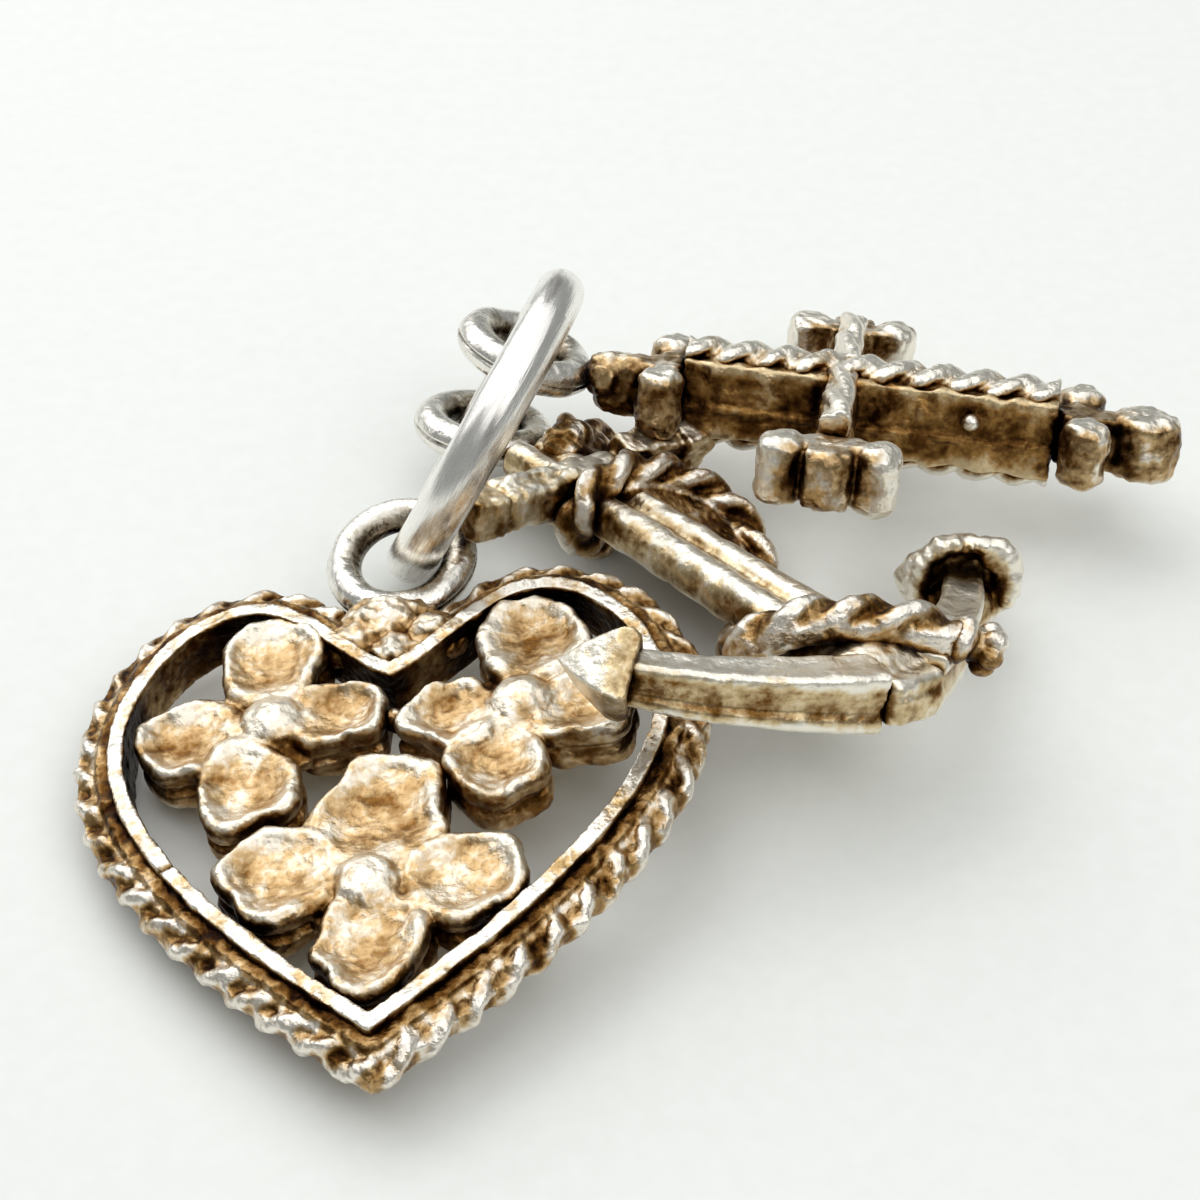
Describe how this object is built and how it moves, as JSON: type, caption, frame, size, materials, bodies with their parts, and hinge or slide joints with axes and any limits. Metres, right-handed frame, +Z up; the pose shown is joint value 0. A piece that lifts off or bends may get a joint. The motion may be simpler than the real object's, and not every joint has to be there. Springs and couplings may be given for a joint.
{
  "type": "faith hope charity charm",
  "caption": "Sterling silver cross, anchor and heart charms hanging together by their bails from one round jump ring.",
  "frame": {"origin": "centre of the bounding box on the table that the charms lie on", "axes": "+Z up from the table; +Y away from the picture's viewer and +X to that viewer's right"},
  "size_m": [0.0242, 0.0236, 0.0072],
  "materials": {
    "bright_silver": "polished silver wire, brightest on its outer side, with fine scratches",
    "bail_silver": "greyed silver, darker inside each loop",
    "worn_silver": "silver with warm tan tarnish, off-white where it is rubbed",
    "dark_silver": "silver with brown to black tarnish in its hollows"
  },
  "bodies": {
    "ring": {"jump_ring": "bright_silver"},
    "heart": {"heart_rim": "worn_silver", "heart_border_rope": "dark_silver", "heart_flower_right": "worn_silver", "heart_flower_left": "worn_silver", "heart_flower_foot": "worn_silver", "heart_saddle": "worn_silver", "heart_cleft_bead": "worn_silver", "heart_bail": "bail_silver"},
    "anchor": {"anchor_shank": "worn_silver", "anchor_stock": "dark_silver", "anchor_arm_right": "worn_silver", "anchor_arm_left": "worn_silver", "anchor_fluke_right": "dark_silver", "anchor_fluke_left": "dark_silver", "anchor_rope": "dark_silver", "anchor_rope_tassel": "dark_silver", "anchor_bail": "bail_silver"},
    "cross": {"cross_body": "dark_silver", "cross_post_rope_front": "worn_silver", "cross_post_rope_back": "worn_silver", "cross_end_head": "bail_silver", "cross_end_foot": "worn_silver", "cross_end_right": "worn_silver", "cross_end_left": "worn_silver", "cross_side_bead": "worn_silver", "cross_bail": "bail_silver", "cross_bar_rope_right_front": "worn_silver", "cross_bar_rope_right_back": "worn_silver", "cross_bar_rope_left_front": "worn_silver", "cross_bar_rope_left_back": "worn_silver"}
  },
  "joints": [
    {"name": "heart_swing", "type": "hinge", "parent": "ring", "child": "heart", "pos_m": [-0.00542, 0.00207, 0.00177], "axis": [-0.1639, 0.6664, -0.7274], "range_deg": [-4, 80]},
    {"name": "anchor_swing", "type": "hinge", "parent": "ring", "child": "anchor", "pos_m": [-0.00409, 0.00711, 0.00151], "axis": [0.4886, 0.5662, 0.6639], "range_deg": [-28, 0]},
    {"name": "cross_swing", "type": "hinge", "parent": "ring", "child": "cross", "pos_m": [-0.00308, 0.00773, 0.0032], "axis": [0.4414, 0.0067, 0.8973], "range_deg": [0, 75]}
  ]
}
